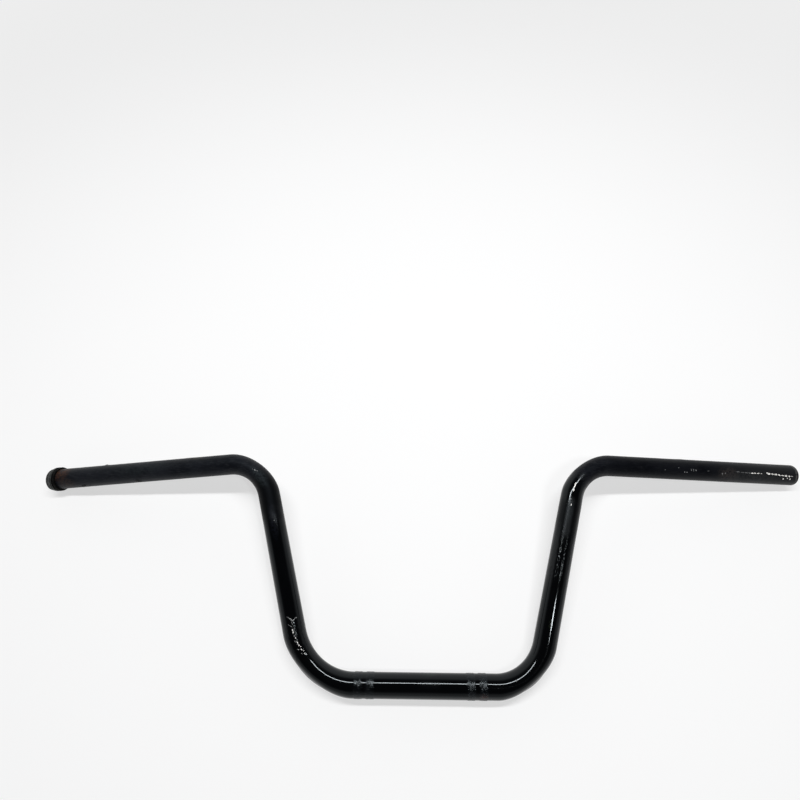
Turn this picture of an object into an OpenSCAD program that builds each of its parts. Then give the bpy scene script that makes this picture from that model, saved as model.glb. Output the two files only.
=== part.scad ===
// Quad bike handlebar: one bent steel tube, knurled where the clamps hold it,
// with the end ring of the old left grip still on the tube.
// Millimetres. It lies as it comes to rest: the clamp run and both ends on the floor,
// X along the clamp run, +Y from the clamp run towards the grips, +Z up.

/* [Tube] */
// Outside diameter of the tube
tube_od = 22.2; // [19:0.1:25.4]
// Wall thickness of the tube
tube_wall = 2; // [1.5:0.1:3]
// Chamfer on the outer edge of each tube end
end_chamfer = 0.6; // [0.2:0.1:1.2]

/* [Bends] */
// Centreline radius of the right lower bend
right_lower_bend_r = 50.5; // [44:0.5:60]
// Centreline radius of the left lower bend
left_lower_bend_r = 61.5; // [50:0.5:64]
// Centreline radius of the two upper bends
upper_bend_r = 45.5; // [34:0.5:56]
// How far the outside of the lower bends is flattened by the bending
lower_flattening = 2.8; // [1:0.1:3.2]
// How far the outside of the upper bends is flattened by the bending
upper_flattening = 1.8; // [1:0.1:3.2]

/* [Clamp run] */
// Distance between the corners of the two lower bends, measured on the centreline
foot_span = 218; // [216:1:250]

/* [Risers] */
// Height of the upper bend corners over the clamp run, in the plane of the risers
rise = 212; // [190:1:240]
// How far each riser leans outwards over that height
riser_spread = 61; // [45:1:75]

/* [Grip runs] */
// Width over the two tube ends, measured on the centreline
overall_width = 828; // [760:1:880]
// How far the right tube end drops below the upper corner, in the plane of the risers
right_grip_drop = 5; // [0:1:24]
// How far the left tube end drops below the upper corner, in the plane of the risers
left_grip_drop = 17; // [6:1:28]
// How far the tube ends are swept back out of the plane of the risers
grip_sweep = 26; // [10:1:45]

/* [Knurling] */
// Distance between the middles of the left and right pairs of bands
knurl_pair_span = 105; // [90:1:108]
// Length of one band
knurl_length = 8; // [5:0.2:9]
// Smooth gap between the two bands of a pair
knurl_gap = 3.2; // [2:0.2:4.4]
// Height of the diamond points over the tube
knurl_height = 0.25; // [0.15:0.05:0.5]
// Diamonds round the tube
knurl_count = 34; // [24:1:38]
// Rows of diamonds along one band
knurl_rows = 4; // [2:1:5]

/* [End ring] */
// Outside diameter of the ring left on the left end
ring_od = 26.6; // [25.5:0.1:32]
// Outside diameter where the ring tapers off at the tube end
ring_nose_od = 23.4; // [23:0.1:25]
// Length of the ring along the tube
ring_length = 10.8; // [9.6:0.2:16]
// Length of its tapered part
ring_taper = 5; // [3:0.2:5.6]
// Tube showing beyond the ring
ring_setback = 0.7; // [0.6:0.1:6]
// Play between the ring and the tube
ring_play = 0.02; // [0:0.01:0.1]
// Rounding of the ring's inner-facing edge
ring_edge = 0.8; // [0.3:0.1:1.2]
// Width of the grooves round the ring
groove_width = 0.9; // [0.5:0.1:1.4]
// Depth of the grooves round the ring
groove_depth = 0.35; // [0.1:0.05:0.5]

/* [Output] */
// Sub-part to draw

/* [Hidden] */

tube_r = tube_od / 2;
bore_r = tube_r - tube_wall;
ring_r = ring_od / 2;
paint_black = [0.05, 0.05, 0.055];
rubber_black = [0.09, 0.085, 0.08];
fine = 72;
// How far a straight run goes on into a bend, and how much the bending draws the tube in.
run_on = 0.5;
bend_draw = 0.03;
// Share of a bend that is flattened, and how much rounder its trimming disc's rim is.
flat_share = 0.85;
rim_round = 1.5;
bore_past_end = 1;

// The two sides have the same corners, but not the same lower bend and end height.
// Every point is given for the right side, and the left side is mirrored.
right = 0;
left = 1;
lower_bend_r = [right_lower_bend_r, left_lower_bend_r];
grip_drop = [right_grip_drop, left_grip_drop];

// Centreline corners and the tube end, in the plane of the risers.
lower_corner = [foot_span / 2, 0, 0];
upper_corner = [foot_span / 2 + riser_spread, rise, 0];
function tube_end(side) = [overall_width / 2, rise - grip_drop[side], -grip_sweep];

// Directions of the clamp run, the riser and the grip run.
function unit(v) = v / norm(v);
clamp_dir = [1, 0, 0];
riser_dir = unit(upper_corner - lower_corner);
function grip_dir(side) = unit(tube_end(side) - upper_corner);
lower_angle = acos(clamp_dir * riser_dir);
function upper_angle(side) = acos(riser_dir * grip_dir(side));
function lower_reach(side) = lower_bend_r[side] * tan(lower_angle / 2);
function upper_reach(side) = upper_bend_r * tan(upper_angle(side) / 2);

// Where the straight runs start and stop.
function clamp_stop(side) = lower_corner - clamp_dir * lower_reach(side);
function riser_start(side) = lower_corner + riser_dir * lower_reach(side);
function riser_stop(side) = upper_corner - riser_dir * upper_reach(side);
function grip_start(side) = upper_corner + grip_dir(side) * upper_reach(side);
function grip_length(side) = norm(tube_end(side) - grip_start(side));

// The ring lifts the left end a little, so the bar lies rolled and tilted on three supports:
// the right end, the ring, and the right-hand knurling of the clamp run.
ring_stop = grip_length(left) - ring_setback;
ring_point = grip_start(left) + grip_dir(left) * (ring_stop - ring_taper);
rest_point = tube_end(right);
knurl_r = tube_r + knurl_height;
knurl_stop = (knurl_pair_span + knurl_gap) / 2 + knurl_length;
sweep_tilt = atan2(grip_sweep, rest_point[1]);
function height_at(point, tilt) = point[1] * sin(tilt) + point[2] * cos(tilt);
// The roll that brings the right end and the ring to the same floor at a given tilt.
function roll_at(tilt) =
    asin((height_at(rest_point, tilt) - height_at(ring_point, tilt) + ring_r - tube_r)
        / (rest_point[0] + ring_point[0]));
// The tilt that brings the right end and the knurling to the same floor at a given roll.
function tilt_at(roll) =
    sweep_tilt + asin(((rest_point[0] - knurl_stop) * tan(roll) - knurl_height)
        / norm([rest_point[1], rest_point[2]]));
near_tilt = tilt_at(roll_at(sweep_tilt));
lie_roll = roll_at(near_tilt);
lie_tilt = tilt_at(lie_roll);
lie_height = knurl_r + knurl_stop * sin(lie_roll);

// The origin is on the floor, under the middle of the whole bar.
function upper_inward(side) =
    unit(grip_dir(side) - riser_dir * (riser_dir * grip_dir(side)));
function bend_top(side) =
    (riser_stop(side) + upper_inward(side) * upper_bend_r)[1] + upper_bend_r;
bar_top = max(bend_top(right), bend_top(left)) * cos(lie_tilt) + tube_r;
lie_back = (bar_top - knurl_r) / 2;

// Lays the bar down on the floor.
module lie_down() {
    translate([0, -lie_back, lie_height])
        rotate([0, lie_roll, 0])
            rotate([lie_tilt, 0, 0])
                children();
}

// Puts local +Z along a direction and the origin on a point.
module along(point, dir) {
    side = unit(cross(abs(dir[2]) < 0.9 ? [0, 0, 1] : [0, 1, 0], dir));
    up = cross(dir, side);
    multmatrix([
        [side[0], up[0], dir[0], point[0]],
        [side[1], up[1], dir[1], point[1]],
        [side[2], up[2], dir[2], point[2]],
        [0, 0, 0, 1]
    ])
        children();
}

// A round run between two points, carried on a little way into the bends at its ends.
module run(from, to, r) {
    dir = unit(to - from);
    along(from - dir * run_on, dir)
        cylinder(h = norm(to - from) + 2 * run_on, r = r, $fn = fine);
}

// The grip run, from the upper bend to the tube end, with an edge chamfer.
module grip_run(side, r, end_extra, chamfer) {
    length = grip_length(side) + run_on + end_extra;
    along(grip_start(side) - grip_dir(side) * run_on, grip_dir(side))
        rotate_extrude($fn = fine)
            polygon([[0, 0], [r, 0], [r, length - chamfer], [r - chamfer, length], [0, length]]);
}

// A bend that leaves a point along one direction and turns to another.
// Its outside is flattened, most in the middle of the bend and not at all near its ends:
// a disc with a rounded rim, centred further in than the bend, trims it.
module bend(from, dir_in, dir_out, bend_r, turn, r, flattening) {
    inward = unit(dir_out - dir_in * (dir_in * dir_out));
    centre = from + inward * bend_r;
    axis = cross(-inward, dir_in);
    rim_shift = flattening / (1 - cos(flat_share * turn / 2));
    rim_reach = bend_r + r - flattening + rim_shift;
    rim_r = r + rim_round;
    multmatrix([
        [-inward[0], dir_in[0], axis[0], centre[0]],
        [-inward[1], dir_in[1], axis[1], centre[1]],
        [-inward[2], dir_in[2], axis[2], centre[2]],
        [0, 0, 0, 1]
    ])
        intersection() {
            rotate_extrude(angle = turn, $fn = 2 * fine)
                translate([bend_r, 0])
                    circle(r = r - bend_draw, $fn = fine);
            rotate([0, 0, turn / 2])
                translate([-rim_shift, 0, 0])
                    rotate_extrude($fn = 2 * fine)
                        rim_section(rim_reach, rim_r);
        }
}

// Half section of the trimming disc.
module rim_section(reach, rim_r) {
    translate([0, -rim_r])
        square([reach - rim_r, 2 * rim_r]);
    intersection() {
        translate([reach - rim_r, 0])
            circle(r = rim_r, $fn = 2 * fine);
        translate([reach - 2 * rim_r, -2 * rim_r])
            square([3 * rim_r, 4 * rim_r]);
    }
}

// The whole bent bar as a solid round form: the clamp run and both sides.
module bar_form(r, end_extra, chamfer) {
    run(-clamp_stop(left), clamp_stop(right), r);
    for (side = [right, left])
        mirror([side, 0, 0]) {
            bend(clamp_stop(side), clamp_dir, riser_dir, lower_bend_r[side], lower_angle, r,
                lower_flattening);
            run(riser_start(side), riser_stop(side), r);
            bend(riser_stop(side), riser_dir, grip_dir(side), upper_bend_r, upper_angle(side),
                r, upper_flattening);
            grip_run(side, r, end_extra, chamfer);
        }
}

// One band of diamond knurling: a sleeve whose outer face is a grid of points and hollows.
// Rows and columns where the sum is even stand out, the others are the grooves between.
module knurl_band(length) {
    around = 2 * knurl_count;
    rows = 2 * knurl_rows;
    root_r = tube_r + 0.05;
    seat_r = tube_r - tube_wall / 2;
    function point_r(i, j) =
        (j == 0 || j == rows || (i + j) % 2 == 1) ? root_r : tube_r + knurl_height;
    function turn_at(i) = 360 * i / around;
    outer = [
        for (j = [0 : rows])
            for (i = [0 : around - 1])
                let (q = point_r(i, j))
                    [q * cos(turn_at(i)), q * sin(turn_at(i)), length * j / rows]
    ];
    inner = [
        for (z = [0, length])
            for (i = [0 : around - 1])
                [seat_r * cos(turn_at(i)), seat_r * sin(turn_at(i)), z]
    ];
    function at(i, j) = j * around + i % around;
    function seat(i, k) = (rows + 1 + k) * around + i % around;
    skin = [
        for (j = [0 : rows - 1])
            for (i = [0 : around - 1])
                each (i + j) % 2 == 0
                    ? [[at(i, j), at(i, j + 1), at(i + 1, j)],
                       [at(i + 1, j), at(i, j + 1), at(i + 1, j + 1)]]
                    : [[at(i, j), at(i, j + 1), at(i + 1, j + 1)],
                       [at(i, j), at(i + 1, j + 1), at(i + 1, j)]]
    ];
    ends = [
        for (i = [0 : around - 1])
            each [
                [at(i, 0), at(i + 1, 0), seat(i + 1, 0), seat(i, 0)],
                [at(i, rows), seat(i, 1), seat(i + 1, 1), at(i + 1, rows)],
                [seat(i, 0), seat(i + 1, 0), seat(i + 1, 1), seat(i, 1)]
            ]
    ];
    polyhedron(points = concat(outer, inner), faces = concat(skin, ends), convexity = 4);
}

// The four bands, in two pairs.
module knurling() {
    for (side = [-1, 1])
        for (band = [-1, 1])
            translate([side * knurl_pair_span / 2 + band * (knurl_gap + knurl_length) / 2, 0, 0])
                rotate([0, 90, 0])
                    translate([0, 0, -knurl_length / 2])
                        knurl_band(knurl_length);
}

// The bent tube with its bore, chamfered ends and knurling.
module handlebar_tube() {
    color(paint_black)
        lie_down()
            difference() {
                union() {
                    bar_form(tube_r, 0, end_chamfer);
                    knurling();
                }
                bar_form(bore_r, bore_past_end, bore_past_end / 2);
            }
}

// The end ring of the old grip, round the tube at its left end.
module left_end_ring() {
    color(rubber_black)
        lie_down()
            mirror([1, 0, 0])
                along(grip_start(left) + grip_dir(left) * ring_stop, -grip_dir(left))
                    rotate_extrude($fn = fine)
                        ring_section();
}

// Half section of the ring, from the tapered nose up to the full lip.
// One groove runs round the taper and two round the full part.
module ring_section() {
    hole_r = tube_r + ring_play;
    nose_r = ring_nose_od / 2;
    full = ring_length - ring_taper;
    lip = ring_length - ring_edge;
    difference() {
        union() {
            polygon([[hole_r, 0], [nose_r, 0], [ring_r, ring_taper], [ring_r, lip],
                [ring_r - ring_edge, lip], [ring_r - ring_edge, ring_length],
                [hole_r, ring_length]]);
            intersection() {
                translate([ring_r - ring_edge, lip])
                    circle(r = ring_edge, $fn = fine);
                translate([ring_r - ring_edge, lip])
                    square(ring_edge);
            }
        }
        translate([(nose_r + ring_r) / 2 - groove_depth, (ring_taper - groove_width) / 2])
            square([ring_r, groove_width]);
        for (share = [0.12, 0.56])
            translate([ring_r - groove_depth, ring_taper + share * full])
                square([ring_r, groove_width]);
    }
}

handlebar_tube();
left_end_ring();
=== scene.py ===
"""Quad bike handlebar: the look of the bent tube, its knurled bands and the old grip's end ring.

Metres, in the frame of the CAD. The path of the tube repeats the construction of the source.
"""
import math
import random

import bpy
import numpy as np
from mathutils import Matrix, Vector


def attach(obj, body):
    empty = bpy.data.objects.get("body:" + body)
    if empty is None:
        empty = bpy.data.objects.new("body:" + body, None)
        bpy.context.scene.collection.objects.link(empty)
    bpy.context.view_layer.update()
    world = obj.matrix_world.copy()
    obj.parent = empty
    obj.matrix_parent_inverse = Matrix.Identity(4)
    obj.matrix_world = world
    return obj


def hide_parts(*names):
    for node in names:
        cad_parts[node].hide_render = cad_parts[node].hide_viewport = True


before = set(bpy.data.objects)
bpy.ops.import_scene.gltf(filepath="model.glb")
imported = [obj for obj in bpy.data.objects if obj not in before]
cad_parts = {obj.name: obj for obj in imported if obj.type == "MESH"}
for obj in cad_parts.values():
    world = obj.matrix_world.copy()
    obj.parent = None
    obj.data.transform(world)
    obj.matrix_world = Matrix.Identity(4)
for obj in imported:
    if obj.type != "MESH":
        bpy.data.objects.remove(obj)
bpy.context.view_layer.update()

MM = 0.001

# Sizes in millimetres, as in the source
TUBE_R = 11.1
BORE_R = 9.1
END_CHAMFER = 0.6
RIGHT, LEFT = 0, 1
SIDES = (RIGHT, LEFT)
LOWER_BEND_R = (50.5, 61.5)
UPPER_BEND_R = 45.5
LOWER_FLAT, UPPER_FLAT = 2.8, 1.8
FOOT_SPAN, RISE, RISER_SPREAD = 218.0, 212.0, 61.0
OVERALL_WIDTH, GRIP_SWEEP = 828.0, 26.0
GRIP_DROP = (5.0, 17.0)
KNURL_PAIR_SPAN, KNURL_LENGTH, KNURL_GAP, KNURL_HEIGHT = 105.0, 8.0, 3.2, 0.25
KNURL_COUNT, KNURL_ROWS = 34, 4
RING_R, RING_NOSE_R, RING_LENGTH, RING_TAPER = 13.3, 11.7, 10.8, 5.0
RING_SETBACK, RING_PLAY = 0.7, 0.02

# How finely the meshes follow their shapes: points round a ring, steps along, and lengths of step
TUBE_AROUND = 96
RING_AROUND = 128
POINTS_PER_DIAMOND = 6
BAND_STEPS = 36
LOWER_BEND_STEPS, UPPER_BEND_STEPS = 56, 48
PLAIN_STEP, GRIP_STEP = 3.0, 2.0
BORE_EVERY = 2

# The share of a bend that is flattened, and how gently the flat begins
FLAT_SHARE, FLAT_EASE = 0.95, 1.5


def unit(v):
    v = np.array(v, float)
    return v / np.linalg.norm(v)


# The centreline. Every point is given for the right side, and the left side is mirrored.
MIRROR = np.array([-1.0, 1, 1])
UPWARD = np.array([0, 0, 1.0])
lower_corner = np.array([FOOT_SPAN / 2, 0, 0])
upper_corner = np.array([FOOT_SPAN / 2 + RISER_SPREAD, RISE, 0])
clamp_dir = np.array([1.0, 0, 0])
riser_dir = unit(upper_corner - lower_corner)
lower_angle = math.acos(clamp_dir @ riser_dir)
tube_end = [np.array([OVERALL_WIDTH / 2, RISE - GRIP_DROP[k], -GRIP_SWEEP]) for k in SIDES]
grip_dir = [unit(tube_end[k] - upper_corner) for k in SIDES]
upper_angle = [math.acos(riser_dir @ grip_dir[k]) for k in SIDES]
lower_reach = [LOWER_BEND_R[k] * math.tan(lower_angle / 2) for k in SIDES]
upper_reach = [UPPER_BEND_R * math.tan(upper_angle[k] / 2) for k in SIDES]
clamp_stop = [lower_corner - clamp_dir * lower_reach[k] for k in SIDES]
riser_start = [lower_corner + riser_dir * lower_reach[k] for k in SIDES]
riser_stop = [upper_corner - riser_dir * upper_reach[k] for k in SIDES]
grip_start = [upper_corner + grip_dir[k] * upper_reach[k] for k in SIDES]
grip_length = [np.linalg.norm(tube_end[k] - grip_start[k]) for k in SIDES]

# The lying pose: the bar rests on its right end, the ring and the right-hand knurling
ring_stop = grip_length[LEFT] - RING_SETBACK
ring_point = grip_start[LEFT] + grip_dir[LEFT] * (ring_stop - RING_TAPER)
rest_point = tube_end[RIGHT]
knurl_stop = (KNURL_PAIR_SPAN + KNURL_GAP) / 2 + KNURL_LENGTH
sweep_tilt = math.atan2(GRIP_SWEEP, rest_point[1])


def height_at(point, tilt):
    return point[1] * math.sin(tilt) + point[2] * math.cos(tilt)


def roll_at(tilt):
    """The roll that brings the right end and the ring to the same floor."""
    drop = height_at(rest_point, tilt) - height_at(ring_point, tilt)
    return math.asin((drop + RING_R - TUBE_R) / (rest_point[0] + ring_point[0]))


def tilt_at(roll):
    """The tilt that brings the right end and the knurling to the same floor."""
    lift = (rest_point[0] - knurl_stop) * math.tan(roll) - KNURL_HEIGHT
    return sweep_tilt + math.asin(lift / math.hypot(rest_point[1], rest_point[2]))


lie_roll = roll_at(tilt_at(roll_at(sweep_tilt)))
lie_tilt = tilt_at(lie_roll)
lie_height = TUBE_R + KNURL_HEIGHT + knurl_stop * math.sin(lie_roll)
upper_inward = [unit(grip_dir[k] - riser_dir * (riser_dir @ grip_dir[k])) for k in SIDES]
bend_top = max((riser_stop[k] + upper_inward[k] * UPPER_BEND_R)[1] + UPPER_BEND_R for k in SIDES)
lie_back = (bend_top * math.cos(lie_tilt) - KNURL_HEIGHT) / 2
lay = (Matrix.Translation((0, -lie_back, lie_height))
       @ Matrix.Rotation(lie_roll, 4, "Y") @ Matrix.Rotation(lie_tilt, 4, "X"))
lay_turn = np.array(lay.to_3x3())
lay_move = np.array(lay.translation)


def bend_stations(start, dir_in, dir_out, bend_r, turn, flat, count):
    """Points round a bend: place, direction, outward direction and how far the outside is flattened."""
    inward = unit(dir_out - dir_in * (dir_in @ dir_out))
    centre = start + inward * bend_r
    out = []
    for i in range(count):
        a = turn * i / count
        outward = dir_in * math.sin(a) - inward * math.cos(a)
        ahead = dir_in * math.cos(a) + inward * math.sin(a)
        off = min(1.0, abs(2 * a / turn - 1) / FLAT_SHARE)
        flat_here = flat * math.cos(math.pi / 2 * off) ** FLAT_EASE
        out.append((centre + outward * bend_r, ahead, outward, flat_here))
    return out


def straight_stations(start, stop, step):
    """Points along a straight run, without its last one."""
    n = max(1, round(np.linalg.norm(stop - start) / step))
    return [(start + (stop - start) * i / n, unit(stop - start), UPWARD, 0.0) for i in range(n)]


def half_stations(k):
    """One half of the centreline, from the middle of the clamp run to the tube end."""
    lower_bend = bend_stations(clamp_stop[k], clamp_dir, riser_dir,
                               LOWER_BEND_R[k], lower_angle, LOWER_FLAT, LOWER_BEND_STEPS)
    upper_bend = bend_stations(riser_stop[k], riser_dir, grip_dir[k],
                               UPPER_BEND_R, upper_angle[k], UPPER_FLAT, UPPER_BEND_STEPS)
    return (straight_stations(np.zeros(3), clamp_stop[k], PLAIN_STEP) + lower_bend
            + straight_stations(riser_start[k], riser_stop[k], PLAIN_STEP) + upper_bend
            + straight_stations(grip_start[k], tube_end[k], GRIP_STEP)
            + [(tube_end[k], grip_dir[k], UPWARD, 0.0)])


def distances(half):
    """Distance of each station from the middle of the bar."""
    s = [0.0]
    for a, b in zip(half[:-1], half[1:]):
        s.append(s[-1] + float(np.linalg.norm(b[0] - a[0])))
    return s


def whole_stations():
    """The whole centreline, laid down, from the left end to the right, with the distance from the middle."""
    right, left = [list(zip(half, distances(half))) for half in map(half_stations, SIDES)]
    mirrored = [((p * MIRROR, -t * MIRROR, o * MIRROR, f), -d) for (p, t, o, f), d in left]
    out = []
    for (p, t, o, f), d in mirrored[:0:-1] + right:
        place, ahead, outward = lay_turn @ p + lay_move, lay_turn @ t, lay_turn @ o
        up = unit(UPWARD - ahead[2] * ahead)
        out.append((place, ahead, outward, f, d, up, np.cross(up, ahead)))
    return out


STATIONS = whole_stations()


def surface_point(station, angle, r, flat_too=True):
    """A point of the round skin: angle 0 is the top, a quarter turn is the side to the left of travel."""
    place, ahead, outward, flat, s, up, side = station
    d = up * math.cos(angle) + side * math.sin(angle)
    p = place + d * r
    if flat_too and flat > 0:
        p = p - outward * max(0.0, float(d @ outward)) * flat
    return p


def station_at(s):
    """The centreline at a distance from the middle, between two of the stations."""
    for a, b in zip(STATIONS[:-1], STATIONS[1:]):
        if a[4] <= s <= b[4]:
            k = (s - a[4]) / (b[4] - a[4])
            mix = [x + (y - x) * k for x, y in zip(a, b)]
            return (mix[0], unit(mix[1]), unit(mix[2]), mix[3], mix[4], unit(mix[5]), unit(mix[6]))
    return STATIONS[-1] if s > 0 else STATIONS[0]


def add_mesh(name, points, faces, uvs=None):
    """A new smooth mesh object. Points are in millimetres; uvs are one pair for each face corner."""
    mesh = bpy.data.meshes.new(name)
    mesh.from_pydata([tuple(float(c) * MM for c in p) for p in points], [], faces)
    if uvs is not None:
        layer = mesh.uv_layers.new(name="Along")
        layer.data.foreach_set("uv", np.array(uvs, np.float32).ravel())
    mesh.polygons.foreach_set("use_smooth", [True] * len(mesh.polygons))
    mesh.validate()
    obj = bpy.data.objects.new(name, mesh)
    bpy.context.scene.collection.objects.link(obj)
    return obj


def add_skin(name, rings, coords, flip=True):
    """A closed skin through rings of points, the last joined to the first. Each ring has its own u."""
    around = len(rings[0])
    faces, uvs = [], []
    for j in range(len(rings)):
        k = (j + 1) % len(rings)
        for i in range(around):
            i2 = (i + 1) % around
            turn, turn2 = i / around, (i + 1) / around
            face = [j * around + i, k * around + i, k * around + i2, j * around + i2]
            corners = [(coords[j], turn), (coords[k], turn), (coords[k], turn2), (coords[j], turn2)]
            if flip:
                face.reverse()
                corners.reverse()
            faces.append(face)
            uvs += corners
    return add_mesh(name, [p for ring in rings for p in ring], faces, uvs)


# Soft lumps under the paint: distance along the bar, turn in degrees, length, width and height
LUMPS = (
    (-484.9, 64, 4.0, 3.0, 0.22), (-385.0, 70, 7.0, 3.5, 0.14), (424.2, 68, 3.5, 3.0, 0.20),
    (262.0, 8, 3.2, 2.2, 0.10), (267.5, 20, 2.6, 2.0, 0.12), (272.5, 6, 3.4, 2.4, 0.10),
    (231.0, -4, 3.0, 2.0, 0.08), (222.0, 12, 2.5, 2.0, 0.08), (250.8, 6, 2.6, 2.0, 0.07),
    (-136.0, 4, 3.0, 2.0, 0.07), (-128.0, 8, 2.6, 2.0, 0.06), (-154.0, 12, 3.2, 2.6, 0.08),
)
LUMP_REACH = 2.5

# Faint unevenness of the skin: the height, length and twist of a long wave and of a short one
LONG_WAVE, SHORT_WAVE = (0.012, 23.0, 1.7), (0.008, 9.0, 2.6)


def relief(s, angle):
    """Height of the skin above the plain round tube."""
    high = LONG_WAVE[0] * math.sin(s / LONG_WAVE[1] + LONG_WAVE[2] * math.cos(angle))
    high += SHORT_WAVE[0] * math.sin(s / SHORT_WAVE[1] + SHORT_WAVE[2] * math.sin(angle))
    for at, deg, length, width, height in LUMPS:
        if abs(s - at) < LUMP_REACH * length:
            across = (angle - math.radians(deg) + math.pi) % (2 * math.pi) - math.pi
            high += height * math.exp(-((s - at) / length) ** 2 - (across * TUBE_R / width) ** 2)
    return high


# A mouth of the tube, from the bore to the skin: depth in from the end, and radius
MOUTH_PROFILE = (
    (0.35, BORE_R), (0, BORE_R + 0.3), (0, TUBE_R - END_CHAMFER),
    (END_CHAMFER * 0.35, TUBE_R - END_CHAMFER * 0.3), (END_CHAMFER, TUBE_R),
)


def make_tube():
    """The left mouth, the skin with its relief, the right mouth, and the bore back again."""
    rings, coords = [], []

    def add_ring(station, radius, flat_too=True):
        angles = [2 * math.pi * i / TUBE_AROUND for i in range(TUBE_AROUND)]
        rings.append([surface_point(station, a, radius(a), flat_too) for a in angles])
        coords.append(station[4])

    def add_mouth(station, inward, profile):
        for depth, r in profile:
            place = station[0] + station[1] * (inward * depth)
            add_ring((place,) + station[1:], lambda a: r)

    add_mouth(STATIONS[0], 1, MOUTH_PROFILE)
    for station in STATIONS[1:-1]:
        add_ring(station, lambda a: TUBE_R + relief(station[4], a))
    add_mouth(STATIONS[-1], -1, MOUTH_PROFILE[::-1])
    for station in STATIONS[-3:1:-BORE_EVERY]:
        add_ring(station, lambda a: BORE_R, False)
    return add_skin("bent_tube", rings, coords)


# Numbers that turn a name into a seed, and a diamond's place into a number of its own
HASH_START, HASH_STEP, HASH_LIMIT = 7, 131, 1000003
CELL_A, CELL_B, CELL_SHIFT = 7, 13, 50


def hash_name(name):
    """The same whole number for the same name in every run."""
    value = HASH_START
    for c in name:
        value = (value * HASH_STEP + ord(c)) % HASH_LIMIT
    return value


# The knurled bands: how deep a band goes into the wall, how far its ends sink and over how many steps,
# how far it stands over the skin, and the lowest and highest parts of its diamonds
BAND_ROOT, BAND_SINK, FADE_STEPS = 0.7, 0.12, 3.0
BAND_LIFT, DIAMOND_FOOT, DIAMOND_HEIGHT = 0.01, 0.02, 0.23
FLAT_TOP = 1.5
LEAST_LEFT, WEAR_DRAWS = 0.45, 211


def make_band(name, middle):
    """A sleeve of pressed diamonds. It is closed inside the wall, and its ends sink below the skin."""
    rng = random.Random(hash_name(name))
    around = KNURL_COUNT * POINTS_PER_DIAMOND
    worn = [rng.uniform(LEAST_LEFT, 1.0) for _ in range(WEAR_DRAWS)]
    rings, coords, heights = [], [], []

    def add_row(z, shape):
        """One ring of points. The shape gives each point's height, from 0 to 1, and its radius."""
        station = station_at(middle - KNURL_LENGTH / 2 + z)
        row = [shape(i) for i in range(around)]
        rings.append([surface_point(station, 2 * math.pi * i / around, r, False)
                      for i, (high, r) in enumerate(row)])
        coords.append(station[4])
        heights.extend(high for high, r in row)

    def root(i):
        return 0.0, TUBE_R - BAND_ROOT

    def diamonds(z, fade):
        def shape(i):
            a = i / around * KNURL_COUNT
            b = z / KNURL_LENGTH * KNURL_ROWS
            edge = min(abs(math.sin(math.pi * (a + b))), abs(math.sin(math.pi * (a - b))))
            cell = int(a + b) * CELL_A + int(a - b + CELL_SHIFT) * CELL_B
            high = min(1.0, edge * FLAT_TOP) * worn[cell % len(worn)]
            base = TUBE_R + BAND_LIFT - BAND_SINK * (1 - fade)
            return high * fade, base + (DIAMOND_FOOT + DIAMOND_HEIGHT * high) * fade
        return shape

    add_row(0.0, root)
    for j in range(BAND_STEPS + 1):
        fade = min(1.0, min(j, BAND_STEPS - j) / FADE_STEPS)
        z = KNURL_LENGTH * j / BAND_STEPS
        add_row(z, diamonds(z, fade))
    add_row(KNURL_LENGTH, root)
    obj = add_skin(name, rings, coords)
    layer = obj.data.attributes.new("Height", "FLOAT", "POINT")
    layer.data.foreach_set("value", heights)
    return obj


# The end ring, with z from its nose: its grooves as place and width, their bottoms that are painted dark as
# shade, where the face painted black as shade begins, places on the plain skin, and the bevels as change of
# radius and of z
NOSE_GROOVE, FIRST_GROOVE, SECOND_GROOVE = (2.0, 0.95), (5.65, 0.9), (8.15, 0.9)
GROOVE_DEPTH, GROOVE_ROUND, GROOVE_POINTS = 0.5, 0.8, 9
SHADED_GROOVE_BOTTOMS, BOTTOM_HALF, BOTTOM_FADE = (2.45, 6.1, 8.6), 0.3, 0.25
SHADED_FACE = (6.9, 7.5)
RING_PLAIN = (1.0, 4.0, 4.7, 7.2, 9.6)
LIP_ROUND, LIP_POINTS = 0.8, 7
HOLE_BEVEL, NOSE_BEVEL, BACK_BEVEL = (0.15, 0.1), (0.1, 0.12), (0.4, 0.3)
SHOULDER_STEP = 0.02

# Wear of the ring: the height, count round it, twist for each mm and start of two waves, how far
# they are sunk, and how far out of the hole they begin
RING_WAVES = ((0.05, 3, 0.8, 0), (0.04, 7, 1.7, 1))
RING_WORN_OFF, WEAR_STARTS = 0.09, 0.5
ring_hole = TUBE_R + RING_PLAY


def ring_outer(z):
    """Outer radius of the ring, without its grooves."""
    slope = (RING_R - RING_NOSE_R) / RING_TAPER
    return min(RING_R, RING_NOSE_R + slope * z)


def ring_groove(at, width):
    """Points down and up a groove, as radius and z."""
    out = []
    for t in np.linspace(0, 1, GROOVE_POINTS):
        z = at + width * t
        out.append((ring_outer(z) - GROOVE_DEPTH * math.sin(math.pi * t) ** GROOVE_ROUND, z))
    return out


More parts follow.
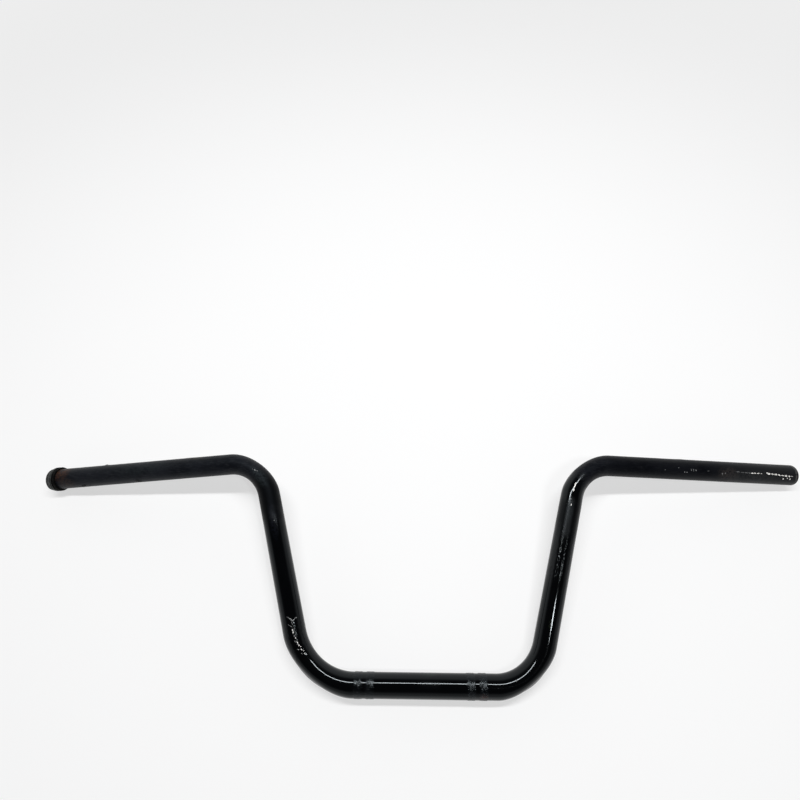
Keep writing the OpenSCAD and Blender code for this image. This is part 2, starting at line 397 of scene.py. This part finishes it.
def ring_profile():
    """The ring's section as radius and z: nose, taper, body with two grooves, lip and hole."""
    nose, taper, late_taper, between, behind = [(ring_outer(z), z) for z in RING_PLAIN]
    profile = [(ring_hole, HOLE_BEVEL[1]), (ring_hole + HOLE_BEVEL[0], 0.0)]
    profile += [(RING_NOSE_R - NOSE_BEVEL[0], 0.0), (RING_NOSE_R, NOSE_BEVEL[1]), nose]
    profile += ring_groove(*NOSE_GROOVE) + [taper, late_taper, (RING_R - SHOULDER_STEP, RING_TAPER)]
    profile += ring_groove(*FIRST_GROOVE) + [between] + ring_groove(*SECOND_GROOVE) + [behind]
    for t in np.linspace(0, math.pi / 2, LIP_POINTS):
        lip_r = RING_R - LIP_ROUND + LIP_ROUND * math.cos(t)
        profile.append((lip_r, RING_LENGTH - LIP_ROUND + LIP_ROUND * math.sin(t)))
    profile += [(ring_hole + BACK_BEVEL[0], RING_LENGTH), (ring_hole, RING_LENGTH - BACK_BEVEL[1])]
    return profile + [(ring_hole, RING_LENGTH / 2)]


def make_ring():
    stop = tube_end[LEFT] - grip_dir[LEFT] * RING_SETBACK
    base = lay_turn @ (stop * MIRROR) + lay_move
    ahead = lay_turn @ (-grip_dir[LEFT] * MIRROR)
    up = unit(UPWARD - ahead[2] * ahead)
    side = np.cross(up, ahead)
    profile = ring_profile()
    rings = []
    for r, z in profile:
        row = []
        for i in range(RING_AROUND):
            a = 2 * math.pi * i / RING_AROUND
            wave = sum(high * math.sin(n * a + twist * z + start) for high, n, twist, start in RING_WAVES)
            worn_r = r + (wave - RING_WORN_OFF if r > ring_hole + WEAR_STARTS else 0)
            row.append(base + ahead * z + (up * math.cos(a) + side * math.sin(a)) * worn_r)
        rings.append(row)
    return add_skin("end_ring", rings, [z for r, z in profile], flip=False)


# Chips and flakes, with some pale specks that are painted highlight glints. Each mark: distance along the
# bar, turn in degrees, length along, width across, lean in degrees, and for a flake its height.
BARE_CHIPS_AND_GLINTS = (
    # the bright end of the long scratch
    (499.6, -20, 1.5, 0.8, 0), (502.8, -20, 1.5, 0.7, 0),
    (506.4, -20, 1.9, 0.7, 0), (510.0, -20, 1.0, 0.5, 0),
    # the row of chips by the right end
    (516.6, -16, 1, 1.1, 0), (518.9, -19, 1.6, 1.5, -8), (522.9, -19.5, 1.5, 0.94, -6),
    (526.6, -21, 1.8, 1.2, -8), (530.6, -23, 1.9, 1.2, -9), (534.8, -24.5, 1.9, 1, -8),
    (538.8, -26, 1.9, 1.2, -8), (542.6, -27, 1.6, 0.94, -6), (545.6, -26, 1, 0.62, 0),
    (535.9, -44, 1, 1.2, 20), (540.6, -39, 0.92, 0.7, 0), (543.8, -43, 1.1, 1, 30),
    # pale specks painted as the broken highlight on the gloss of the left lower bend
    (-132.6, 10, 1.3, 0.5, 15), (-129.6, 12, 1.0, 0.6, -20),
    (-127.6, 17, 0.9, 0.4, 25), (-125.1, 14, 1.2, 0.45, 20),
    (-122.6, 20, 0.8, 0.4, -15), (-119.8, 18, 1.0, 0.4, 22), (-137.0, 8, 0.9, 0.45, 0),
    (-142.6, 4, 1.1, 0.6, 10), (-144.6, 2, 0.9, 0.5, -10),
    # pale specks painted as the short highlight dash on the upper right bend
    (293.9, 11, 1.8, 0.9, 0), (290.9, 10.5, 2.6, 0.8, 0), (287.4, 9.5, 2.2, 0.6, 0), (271.7, 9, 1.2, 0.5, 0),
)
WORN_STROKES_AND_GLINTS = (
    # wispy strokes on the left riser, above the lower bend, and pale specks painted as the broken highlight
    # on the left lower bend
    (-156.8, -9, 1.8, 0.43, 55), (-155.3, -2, 1.7, 0.43, 40),
    (-153.9, 5, 1.7, 0.56, 20), (-153.2, 16, 1.4, 0.5, -60),
    (-154.3, 28, 1.6, 0.5, -75), (-152.6, 10, 2, 0.5, 65),
    (-150.6, 6, 2.2, 0.43, 10), (-148.0, 0, 1.4, 0.43, 50),
    (-134.2, 2, 1.3, 0.6, 20), (-131.0, 7, 1.1, 0.5, -25),
    (-126.4, 1, 1.2, 0.5, 30), (-121.6, 6.5, 1.0, 0.5, 10),
    (-149.8, -10, 1.2, 0.31, 30),
    (-144.5, 3, 1.7, 0.74, 0), (-142.0, 1, 1.3, 0.56, 0), (-139.0, 5, 1.2, 0.62, 0),
    # three short strokes and the dots on the right grip run
    (429.6, -19.5, 0.6, 1.7, 8), (432.3, -19.5, 0.6, 1.7, 8), (434.9, -19.5, 0.6, 1.5, 8),
    (422.3, -33, 0.8, 0.6, 0), (425.0, -34, 1.0, 0.6, 0), (449.1, -21, 1.3, 0.5, 0),
    # the thin start of the long scratch
    (483.0, -17, 3.0, 0.4, -4), (488.0, -18.5, 2.6, 0.35, -5),
    (492.5, -19.5, 3.0, 0.4, -5), (496.5, -20, 1.8, 0.5, -5),
    # small marks elsewhere; the three near -307 are a painted highlight speck on the upper left bend
    (-307.6, 3, 1.3, 0.9, 30), (-305.4, 8, 0.7, 0.5, 0), (-309.9, -3, 0.6, 0.5, 0),
    (465.1, -33, 0.8, 1.5, 0), (468.5, -27, 0.6, 1.1, 0),
    (415.5, -12, 0.6, 0.5, 0), (400.2, -26, 0.6, 0.6, 0),
    (-384.0, 60, 0.9, 0.6, 0), (-250.1, 12, 0.5, 0.5, 0), (90.0, 14, 0.9, 0.8, 0), (155.0, 2, 0.8, 0.7, 0),
)
FLAKE_MARKS = (
    (-509.8, -84, 2.6, 1.5, 20, 0.8), (-446.4, -78, 2.8, 1.4, -25, 0.75), (-442.8, -84, 2.0, 1.1, 0, 0.6),
    (-486.0, 72, 1.8, 1.0, 0, 0.4), (-505.9, -80, 1.2, 0.9, 0, 0.25), (470.0, -82, 1.6, 1.0, 0, 0.22),
    (474.6, -78, 1.1, 0.8, 0, 0.18),
)

# Thin patches: corners round one, how ragged its edge is, how deep its rim and its underside lie,
# and its rings of points as shares of its size and of its height
CHIP_CORNERS = 16
CHIP_RAGGED = (0.55, 1.15)
CHIP_RIM_DEPTH, CHIP_UNDER_DEPTH = 0.05, 0.3
CHIP_SHOULDER, CHIP_CROWN, CHIP_TOP = (0.86, 1.0), (0.45, 1.3), 1.4


def chip(points, faces, mark, high, rng):
    """One thin closed patch with a ragged edge. Its rim and underside lie below the skin."""
    s, deg, length, width, lean = mark[:5]
    turn = math.radians(lean)
    reach = [rng.uniform(*CHIP_RAGGED) for _ in range(CHIP_CORNERS)]

    def at(along, across, lift):
        ds = along * math.cos(turn) - across * math.sin(turn)
        arc = along * math.sin(turn) + across * math.cos(turn)
        angle = math.radians(deg) + arc / TUBE_R
        return surface_point(station_at(s + ds), angle, TUBE_R + relief(s + ds, angle) + lift)

    first = len(points)
    levels = [(1.0, -CHIP_RIM_DEPTH)] + [(share, high * rise) for share, rise in (CHIP_SHOULDER, CHIP_CROWN)]
    for share, lift in levels:
        for i in range(CHIP_CORNERS):
            a = 2 * math.pi * i / CHIP_CORNERS
            along, across = length * reach[i] * share * math.cos(a), width * reach[i] * share * math.sin(a)
            points.append(at(along, across, lift))
    points.append(at(0, 0, high * CHIP_TOP))
    points.append(at(0, 0, -CHIP_UNDER_DEPTH))
    top, under = len(points) - 2, len(points) - 1
    for i in range(CHIP_CORNERS):
        k = (i + 1) % CHIP_CORNERS
        for level in (0, 1):
            low, above = first + level * CHIP_CORNERS, first + (level + 1) * CHIP_CORNERS
            faces.append((low + i, low + k, above + k, above + i))
        faces.append((first + 2 * CHIP_CORNERS + i, first + 2 * CHIP_CORNERS + k, top))
        faces.append((first + k, first + i, under))


def make_chips(name, marks, high):
    """All patches of one kind as one piece. A mark's own height, where it has one, comes first."""
    rng = random.Random(hash_name(name))
    points, faces = [], []
    for mark in marks:
        chip(points, faces, mark, mark[5] if len(mark) > 5 else high, rng)
    return add_mesh(name, points, faces)


# The pieces
BARE_HEIGHT, WORN_HEIGHT, FLAKE_HEIGHT = 0.02, 0.015, 0.3
tube = make_tube()
bands = []
for pair in (-1, 1):
    for band in (-1, 1):
        at = pair * KNURL_PAIR_SPAN / 2 + band * (KNURL_GAP + KNURL_LENGTH) / 2
        bands.append(make_band("knurl_band_%d" % (len(bands) + 1), at))
ring = make_ring()
# bare_chips also holds pale specks that are painted highlight glints on two bends.
bare_chips = make_chips("bare_chips", BARE_CHIPS_AND_GLINTS, BARE_HEIGHT)
# worn_marks also holds pale specks that are painted highlight glints on the left bends.
worn_marks = make_chips("worn_marks", WORN_STROKES_AND_GLINTS, WORN_HEIGHT)
paint_flakes = make_chips("paint_flakes", FLAKE_MARKS, FLAKE_HEIGHT)
chips = [bare_chips, worn_marks, paint_flakes]

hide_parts("handlebar_tube")
for piece in bands + chips:
    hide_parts("handlebar_tube")
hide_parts("left_end_ring")
for piece in [tube] + bands + chips:
    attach(piece, "root")
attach(ring, "root")

# The camera, at the photograph's viewing angle
CAMERA_AT = Vector((-11.771, -73.588, 541.775)) * MM
CAMERA_RIGHT = Vector((0.9998238, 0.0121210, -0.0143301))
CAMERA_AHEAD = Vector((-0.0182665, 0.4529401, -0.8913538))
SENSOR_WIDTH, LENS = 36, 22.003
NEAREST_SEEN = 0.01
camera = bpy.data.objects.new("camera", bpy.data.cameras.new("camera"))
bpy.context.scene.collection.objects.link(camera)
camera_up = CAMERA_RIGHT.cross(CAMERA_AHEAD).normalized()
camera.matrix_world = Matrix((
    (CAMERA_RIGHT.x, camera_up.x, -CAMERA_AHEAD.x, CAMERA_AT.x),
    (CAMERA_RIGHT.y, camera_up.y, -CAMERA_AHEAD.y, CAMERA_AT.y),
    (CAMERA_RIGHT.z, camera_up.z, -CAMERA_AHEAD.z, CAMERA_AT.z),
    (0, 0, 0, 1)))
camera.data.sensor_width = SENSOR_WIDTH
camera.data.lens = LENS
camera.data.clip_start = NEAREST_SEEN
bpy.context.scene.camera = camera

# The floor, in millimetres from the middle
FLOOR_REACH = 6000
floor_corners = [(x * FLOOR_REACH, y * FLOOR_REACH, 0) for x, y in ((-1, -1), (1, -1), (1, 1), (-1, 1))]
floor = add_mesh("floor", floor_corners, [(0, 1, 2, 3)])


# Small helpers for materials
def material(name):
    mat = bpy.data.materials.new(name)
    mat.use_nodes = True
    mat.node_tree.nodes.clear()
    return mat, mat.node_tree


def feed(tree, socket, value):
    """Links an output to a socket, or writes a plain number into it."""
    if isinstance(value, bpy.types.NodeSocket):
        tree.links.new(value, socket)
    else:
        socket.default_value = value


def calc(tree, operation, a, b):
    n = tree.nodes.new("ShaderNodeMath")
    n.operation = operation
    feed(tree, n.inputs[0], a)
    feed(tree, n.inputs[1], b)
    return n.outputs[0]


def plus(tree, a, b):
    return calc(tree, "ADD", a, b)


def times(tree, a, b):
    return calc(tree, "MULTIPLY", a, b)


def larger(tree, a, b):
    return calc(tree, "MAXIMUM", a, b)


def remap(tree, value, a, b, c=0.0, d=1.0):
    """Maps a..b to c..d with a smooth step."""
    n = tree.nodes.new("ShaderNodeMapRange")
    n.interpolation_type = "SMOOTHSTEP"
    feed(tree, n.inputs["Value"], value)
    for key, number in (("From Min", a), ("From Max", b), ("To Min", c), ("To Max", d)):
        n.inputs[key].default_value = number
    return n.outputs[0]


def window(tree, value, a, b, fade):
    """One between a and b, falling to nothing over the fade."""
    return calc(tree, "MINIMUM", remap(tree, value, a - fade, a), remap(tree, value, b, b + fade, 1.0, 0.0))


def noise(tree, vector, scale, detail, rough):
    n = tree.nodes.new("ShaderNodeTexNoise")
    tree.links.new(vector, n.inputs["Vector"])
    n.inputs["Scale"].default_value = scale
    n.inputs["Detail"].default_value = detail
    n.inputs["Roughness"].default_value = rough
    return n.outputs["Fac"]


def stretched(tree, vector, scale, turn):
    n = tree.nodes.new("ShaderNodeMapping")
    tree.links.new(vector, n.inputs["Vector"])
    n.inputs["Rotation"].default_value = turn
    n.inputs["Scale"].default_value = scale
    return n.outputs[0]


def blend(tree, share, a, b):
    """A mix of two colours."""
    n = tree.nodes.new("ShaderNodeMix")
    n.data_type = "RGBA"
    feed(tree, n.inputs[0], share)
    feed(tree, n.inputs[6], a)
    feed(tree, n.inputs[7], b)
    return n.outputs[2]


def rgb(r, g, b):
    return (r, g, b, 1.0)


def bumped(tree, height, distance):
    n = tree.nodes.new("ShaderNodeBump")
    n.inputs["Strength"].default_value = 1.0
    n.inputs["Distance"].default_value = distance
    tree.links.new(height, n.inputs["Height"])
    return n.outputs[0]


def finish(tree, colour, roughness, normal, specular, tint=None):
    """The surface itself. The tint colours its reflections."""
    bsdf = tree.nodes.new("ShaderNodeBsdfPrincipled")
    out = tree.nodes.new("ShaderNodeOutputMaterial")
    feed(tree, bsdf.inputs["Base Color"], colour)
    feed(tree, bsdf.inputs["Roughness"], roughness)
    bsdf.inputs["Specular IOR Level"].default_value = specular
    if tint is not None:
        tree.links.new(tint, bsdf.inputs["Specular Tint"])
    tree.links.new(normal, bsdf.inputs["Normal"])
    tree.links.new(bsdf.outputs[0], out.inputs["Surface"])


def object_place(tree):
    """Place on the object in metres."""
    return tree.nodes.new("ShaderNodeTexCoord").outputs["Object"]


def skin_place(tree):
    """Millimetres along the bar, or from the nose of the ring, and the turn round it, from 0 to 1."""
    uv = tree.nodes.new("ShaderNodeUVMap")
    uv.uv_map = "Along"
    split = tree.nodes.new("ShaderNodeSeparateXYZ")
    tree.links.new(uv.outputs[0], split.inputs[0])
    return split.outputs[0], split.outputs[1]


def patch(tree, s, turn, at, deg, length, width):
    """A soft oval patch on the skin."""
    along = calc(tree, "DIVIDE", calc(tree, "SUBTRACT", s, at), length)
    off = calc(tree, "WRAP", calc(tree, "SUBTRACT", turn, deg / 360.0), 0.5)
    off.node.inputs[2].default_value = -0.5
    across = calc(tree, "DIVIDE", off, width / (2 * math.pi * TUBE_R))
    far = plus(tree, times(tree, along, along), times(tree, across, across))
    return remap(tree, far, 0.0, 1.0, 1.0, 0.0)


# The floor glows a little where it is seen: the share near the object and far off, and where it changes
NEAR_GLOW, FAR_GLOW = 0.55, 0.97
GLOW_FROM, GLOW_TO = 0.6, 2.4


def floor_material():
    """Plain pale floor that keeps the object's shadow."""
    mat, tree = material("floor_white")
    coord = object_place(tree)
    diffuse = tree.nodes.new("ShaderNodeBsdfDiffuse")
    tone = blend(tree, noise(tree, coord, 3.0, 3.0, 0.5), rgb(0.91, 0.915, 0.92), rgb(0.93, 0.932, 0.935))
    tree.links.new(tone, diffuse.inputs["Color"])
    glow = tree.nodes.new("ShaderNodeEmission")
    glow.inputs["Color"].default_value = rgb(1, 1, 1)
    path = tree.nodes.new("ShaderNodeLightPath")
    seen = larger(tree, path.outputs["Is Camera Ray"], path.outputs["Is Glossy Ray"])
    seen = larger(tree, seen, path.outputs["Is Transmission Ray"])
    length = tree.nodes.new("ShaderNodeVectorMath")
    length.operation = "LENGTH"
    tree.links.new(coord, length.inputs[0])
    share = remap(tree, length.outputs["Value"], GLOW_FROM, GLOW_TO, NEAR_GLOW, FAR_GLOW)
    mix = tree.nodes.new("ShaderNodeMixShader")
    tree.links.new(times(tree, seen, share), mix.inputs[0])
    tree.links.new(diffuse.outputs[0], mix.inputs[1])
    tree.links.new(glow.outputs[0], mix.inputs[2])
    out = tree.nodes.new("ShaderNodeOutputMaterial")
    tree.links.new(mix.outputs[0], out.inputs["Surface"])
    return mat


# Zones of the tube's paint by distance along the bar: where one begins and ends, and how far it fades
LEFT_SATIN, RIGHT_SATIN = (-312.0, -290.0), (292.0, 318.0)
LEFT_DULL, RIGHT_DULL = (-268.0, -234.0), (297.0, 311.0)
RISER_DULL, RISER_DULL_SHARE = (254.0, 268.0, 18.0), 0.6
LEFT_VEIL = (-325.0, -285.0)
CLEAN_GRIP, HAND_WORN = (320.0, 350.0), (440.0, 530.0)
# A pale line painted near the right end as a highlight, and the dark end face.
PAINTED_END_HIGHLIGHT, END_FACE = (550.6, 551.6, 0.8), (552.6, 553.2)
CLAMP_RUB, SMOOTH_RISER = (2.0, 16.0, 5.0), (-292.0, -150.0, 8.0)
LEFT_PITS, RIGHT_PITS = (-147.0, -122.0, 6.0), (202.0, 236.0, 14.0)
ZONE_WANDER = 46.0

# Stains: distance along the bar, turn in degrees, length, width, share and colour. The rust of the
# knurling is given in the same way, without its share and colour.
STAINS = (
    (-535.0, 30, 14.0, 14.0, 0.8, rgb(0.050, 0.022, 0.012)),
    (-527.0, -55, 12.0, 9.0, 0.5, rgb(0.040, 0.026, 0.020)),
    (-378.0, 66, 14.0, 8.0, 0.6, rgb(0.034, 0.026, 0.012)),
    (-440.0, 10, 40.0, 12.0, 0.3, rgb(0.020, 0.026, 0.026)),
    (-300.0, 2, 18.0, 8.0, 0.5, rgb(0.020, 0.026, 0.028)),
    (-250.0, 5, 24.0, 5.0, 0.25, rgb(0.012, 0.014, 0.022)),
    (155.0, 2, 5.0, 2.6, 0.6, rgb(0.020, 0.026, 0.016)),
    (265.0, 10, 12.0, 5.0, 0.4, rgb(0.018, 0.022, 0.024)),
    (472.0, -36, 15.0, 11.0, 0.75, rgb(0.030, 0.025, 0.024)),
    (500.0, -48, 38.0, 11.0, 0.6, rgb(0.026, 0.027, 0.027)),
    (58.0, -50, 5.0, 3.5, 0.55, rgb(0.050, 0.020, 0.013)),
    (8.0, 60, 9.0, 3.0, 0.5, rgb(0.016, 0.024, 0.019)),
    (-60.0, 55, 16.0, 4.0, 0.4, rgb(0.012, 0.016, 0.014)),
)
KNURL_RUST = (58.0, -50, 6.0, 5.0)


def paint_zones(tree, wander):
    """How satin the paint's colour is, and how dull its reflections are."""
    satin = larger(tree, remap(tree, wander, *LEFT_SATIN, 1.0, 0.0), remap(tree, wander, *RIGHT_SATIN))
    dull = larger(tree, remap(tree, wander, *LEFT_DULL, 1.0, 0.0), remap(tree, wander, *RIGHT_DULL))
    riser = times(tree, window(tree, wander, *RISER_DULL), RISER_DULL_SHARE)
    return satin, larger(tree, dull, riser)


def paint_bloom(tree, where, s, cloud):
    """The blue-grey bloom and dust of the grip runs."""
    streak = noise(tree, stretched(tree, where, (120.0, 900.0, 900.0), (0, 0, 0.35)), 1.0, 3.0, 0.55)
    cloudy = remap(tree, cloud, 0.35, 0.68)
    bloom = blend(tree, cloudy, rgb(0.0020, 0.0024, 0.0040), rgb(0.0072, 0.0080, 0.0110))
    dusty = times(tree, remap(tree, streak, 0.46, 0.70), 0.65)
    bloom = blend(tree, dusty, bloom, rgb(0.015, 0.016, 0.019))
    clean = times(tree, remap(tree, s, *CLEAN_GRIP), 0.6)
    bloom = blend(tree, clean, bloom, rgb(0.0010, 0.0011, 0.0020))
    worn = times(tree, remap(tree, s, *HAND_WORN), 0.5)
    return blend(tree, worn, bloom, rgb(0.016, 0.017, 0.018))


def paint_tone(tree, where, s, turn, satin, cloud, fine):
    """Near black gloss, bloom on the grip runs, stains, pale specks and a pale line painted near the right
    end as a highlight.
    """
    gloss_tone = blend(tree, cloud, rgb(0.0007, 0.0008, 0.0010), rgb(0.0017, 0.0019, 0.0024))
    tone = blend(tree, satin, gloss_tone, paint_bloom(tree, where, s, cloud))
    for at, deg, length, width, share, shade in STAINS:
        spot = times(tree, patch(tree, s, turn, at, deg, length, width), remap(tree, fine, 0.36, 0.58))
        tone = blend(tree, times(tree, spot, share), tone, shade)
    grain = noise(tree, where, 1500.0, 3.0, 0.6)
    specks = times(tree, remap(tree, grain, 0.70, 0.76), plus(tree, times(tree, satin, 0.35), 0.06))
    tone = blend(tree, specks, tone, rgb(0.11, 0.11, 0.105))
    # A pale line painted near the right end, standing in for a highlight on its edge.
    end_highlight_line = times(tree, window(tree, s, *PAINTED_END_HIGHLIGHT), remap(tree, fine, 0.35, 0.55))
    tone = blend(tree, times(tree, end_highlight_line, 0.6), tone, rgb(0.10, 0.10, 0.095))
    return blend(tree, remap(tree, s, *END_FACE), tone, rgb(0.003, 0.003, 0.003))


def paint_roughness(tree, s, dull, cloud, fine):
    """Smooth gloss, a little rougher where the clamp rubbed, and rough where it is dull."""
    gloss_rough = plus(tree, times(tree, fine, 0.08), 0.03)
    rubbed = times(tree, window(tree, s, *CLAMP_RUB), 0.07)
    smoothed = times(tree, window(tree, s, *SMOOTH_RISER), -0.03)
    gloss_rough = plus(tree, gloss_rough, plus(tree, rubbed, smoothed))
    dull_rough = plus(tree, times(tree, cloud, 0.24), 0.38)
    keep = calc(tree, "SUBTRACT", 1.0, dull)
    return plus(tree, times(tree, gloss_rough, keep), times(tree, dull_rough, dull))


def paint_height(tree, where, wander, satin, fine):
    """Orange peel everywhere, pits in two places and fine dust on the grip runs."""
    peel = noise(tree, where, 330.0, 2.0, 0.5)
    wave = noise(tree, where, 90.0, 1.0, 0.4)
    height = plus(tree, times(tree, peel, 0.30), times(tree, wave, 0.9))
    pitted = larger(tree, window(tree, wander, *LEFT_PITS), window(tree, wander, *RIGHT_PITS))
    pits = times(tree, noise(tree, where, 330.0, 3.0, 0.6), times(tree, pitted, 5.0))
    dust = times(tree, fine, times(tree, satin, 1.2))
    return plus(tree, height, plus(tree, pits, dust))


def tube_paint():
    """Gloss black in the middle and on the risers, dull and dusty on the grip runs."""
    mat, tree = material("black_tube_paint")
    where = object_place(tree)
    s, turn = skin_place(tree)
    cloud = noise(tree, where, 45.0, 4.0, 0.6)
    fine = noise(tree, where, 420.0, 5.0, 0.65)
    wander = plus(tree, s, times(tree, calc(tree, "SUBTRACT", cloud, 0.5), ZONE_WANDER))
    satin, dull = paint_zones(tree, wander)
    veil = blend(tree, remap(tree, s, *LEFT_VEIL), rgb(0.31, 0.36, 0.41), rgb(0.12, 0.138, 0.162))
    tint = blend(tree, dull, rgb(0.88, 0.96, 1), veil)
    tone = paint_tone(tree, where, s, turn, satin, cloud, fine)
    roughness = paint_roughness(tree, s, dull, cloud, fine)
    height = paint_height(tree, where, wander, satin, fine)
    finish(tree, tone, roughness, bumped(tree, height, 0.00006), 0.25, tint)
    return mat


def knurl_paint():
    """The tube's black, rubbed through on the tops of the diamonds, with rust on the right-hand bands."""
    mat, tree = material("black_knurl_paint")
    where = object_place(tree)
    s, turn = skin_place(tree)
    high = tree.nodes.new("ShaderNodeAttribute")
    high.attribute_name = "Height"
    fine = noise(tree, where, 600.0, 4.0, 0.6)
    cloud = noise(tree, where, 150.0, 3.0, 0.5)
    top = remap(tree, high.outputs["Fac"], 0.62, 0.98)
    worn = times(tree, top, remap(tree, cloud, 0.42, 0.62))
    tone = blend(tree, fine, rgb(0.0010, 0.0012, 0.0016), rgb(0.0024, 0.0029, 0.0036))
    tone = blend(tree, times(tree, worn, 0.24), tone, rgb(0.115, 0.135, 0.150))
    rust = times(tree, patch(tree, s, turn, *KNURL_RUST), remap(tree, fine, 0.42, 0.6))
    tone = blend(tree, times(tree, rust, 0.6), tone, rgb(0.060, 0.022, 0.014))
    roughness = plus(tree, times(tree, fine, 0.22), 0.06)
    tint = blend(tree, cloud, rgb(0.74, 0.84, 0.90), rgb(0.88, 0.96, 1))
    finish(tree, tone, roughness, bumped(tree, fine, 0.00004), 0.30, tint)
    return mat


def chip_material(name, light, dark, rough, share):
    """Ground metal or old primer with dirt in it, also used for pale specks that are painted highlight
    glints. A larger share has more of the light colour.
    """
    mat, tree = material(name)
    fine = noise(tree, object_place(tree), 1300.0, 4.0, 0.6)
    tone = blend(tree, remap(tree, fine, share - 0.12, share + 0.12), light, dark)
    roughness = plus(tree, times(tree, fine, 0.25), rough)
    finish(tree, tone, roughness, bumped(tree, fine, 0.00005), 0.5)
    return mat


def ring_rubber():
    """Old rubber with pale dust on its ridges, painted shade in its groove bottoms, and its face toward the
    middle of the bar painted black as shade.
    """
    mat, tree = material("ring_rubber_dust_and_painted_shade")
    where = object_place(tree)
    z = skin_place(tree)[0]
    cloud = noise(tree, where, 160.0, 4.0, 0.6)
    fine = noise(tree, where, 1100.0, 4.0, 0.65)
    tone = blend(tree, cloud, rgb(0.008, 0.009, 0.0085), rgb(0.022, 0.024, 0.023))
    dust = times(tree, remap(tree, fine, 0.38, 0.66), remap(tree, cloud, 0.30, 0.60))
    tone = blend(tree, times(tree, dust, 0.75), tone, rgb(0.125, 0.132, 0.128))
    # Painted shade: the groove bottoms are darkened toward black.
    for bottom in SHADED_GROOVE_BOTTOMS:
        groove = window(tree, z, bottom - BOTTOM_HALF, bottom + BOTTOM_HALF, BOTTOM_FADE)
        tone = blend(tree, times(tree, groove, 0.85), tone, rgb(0.003, 0.003, 0.003))
    # Painted shade: the face toward the middle of the bar is near black, and its reflections are darkened
    # too.
    face = remap(tree, z, *SHADED_FACE)
    tone = blend(tree, times(tree, face, 0.96), tone, rgb(0.0018, 0.0018, 0.0018))
    roughness = plus(tree, times(tree, cloud, 0.2), 0.6)
    height = plus(tree, fine, times(tree, cloud, 2.0))
    tint = blend(tree, face, rgb(1, 1, 1), rgb(0.06, 0.06, 0.06))
    finish(tree, tone, roughness, bumped(tree, height, 0.00012), 0.3, tint)
    return mat


floor.data.materials.append(floor_material())
tube.data.materials.append(tube_paint())
knurls = knurl_paint()
for piece in bands:
    piece.data.materials.append(knurls)
# Bare steel, also the colour of the specks that are painted highlight glints.
bare_chips.data.materials.append(
    chip_material("bare_steel_and_painted_glints", rgb(0.86, 0.85, 0.82), rgb(0.30, 0.29, 0.27), 0.25, 0.60))
# Worn-through grey, also the colour of the specks that are painted highlight glints.
worn_marks.data.materials.append(
    chip_material("worn_through_and_painted_glints", rgb(0.26, 0.27, 0.27), rgb(0.03, 0.03, 0.034), 0.25, 0.50))
paint_flakes.data.materials.append(
    chip_material("lifted_paint", rgb(0.0015, 0.0015, 0.002), rgb(0.006, 0.006, 0.007), 0.35, 0.5))
ring.data.materials.append(ring_rubber())

# The studio: brightness from the horizon up, the side that is brighter, and how pale the backdrop looks
SKY_STOPS = ((0.0, 0.93), (0.30, 0.90), (0.46, 0.55), (0.60, 0.10), (0.78, 0.03), (1.0, 0.025))
BRIGHT_SIDE = (-0.45, 0.89)
DARK_SIDE_SHARE, SIDE_CHANGE = 0.55, (-0.6, 0.9)
BACKDROP = 0.97
LOW_REFLECTION, LOW_TOP = 0.62, 0.25


def make_world():
    """A pale low ring under a dark ceiling, brighter on one side, and pale where the camera sees it."""
    world = bpy.data.worlds.new("studio")
    bpy.context.scene.world = world
    world.use_nodes = True
    tree = world.node_tree
    split = tree.nodes.new("ShaderNodeSeparateXYZ")
    tree.links.new(tree.nodes.new("ShaderNodeTexCoord").outputs["Generated"], split.inputs[0])
    x, y, z = split.outputs
    ramp = tree.nodes.new("ShaderNodeValToRGB")
    tree.links.new(z, ramp.inputs[0])
    elements = ramp.color_ramp.elements
    for i, (at, tone) in enumerate(SKY_STOPS):
        element = elements[i] if i < 2 else elements.new(at)
        element.position = at
        element.color = rgb(tone, tone, tone)
    toward = plus(tree, times(tree, x, BRIGHT_SIDE[0]), times(tree, y, BRIGHT_SIDE[1]))
    side = remap(tree, toward, *SIDE_CHANGE, DARK_SIDE_SHARE, 1.0)
    grey = times(tree, ramp.outputs[0], side)
    path = tree.nodes.new("ShaderNodeLightPath")
    seen = larger(tree, path.outputs["Is Camera Ray"], path.outputs["Is Transmission Ray"])
    grey = larger(tree, grey, times(tree, seen, BACKDROP))
    low = remap(tree, z, 0.0, LOW_TOP, LOW_REFLECTION, 0.0)
    grey = larger(tree, grey, times(tree, path.outputs["Is Glossy Ray"], low))
    back = tree.nodes["Background"]
    tree.links.new(grey, back.inputs["Color"])
    back.inputs["Strength"].default_value = 1.0


def panel(name, at, width, height, power):
    """A rectangular lamp that looks at the middle of the floor. Metres and watts."""
    light = bpy.data.lights.new(name, "AREA")
    light.shape = "RECTANGLE"
    light.size, light.size_y = width, height
    light.energy = power
    obj = bpy.data.objects.new(name, light)
    bpy.context.scene.collection.objects.link(obj)
    obj.location = at
    obj.rotation_mode = "QUATERNION"
    obj.rotation_quaternion = (-Vector(at)).to_track_quat("-Z", "Y")


bpy.context.scene.view_settings.view_transform = "Standard"
LAMP_HEIGHT = 1.3
make_world()
panel("long_strip", (-0.03, 0.46, LAMP_HEIGHT), 1.30, 0.08, 16.2)
panel("side_strip", (0.45, -0.30, LAMP_HEIGHT), 0.07, 0.22, 3.0)
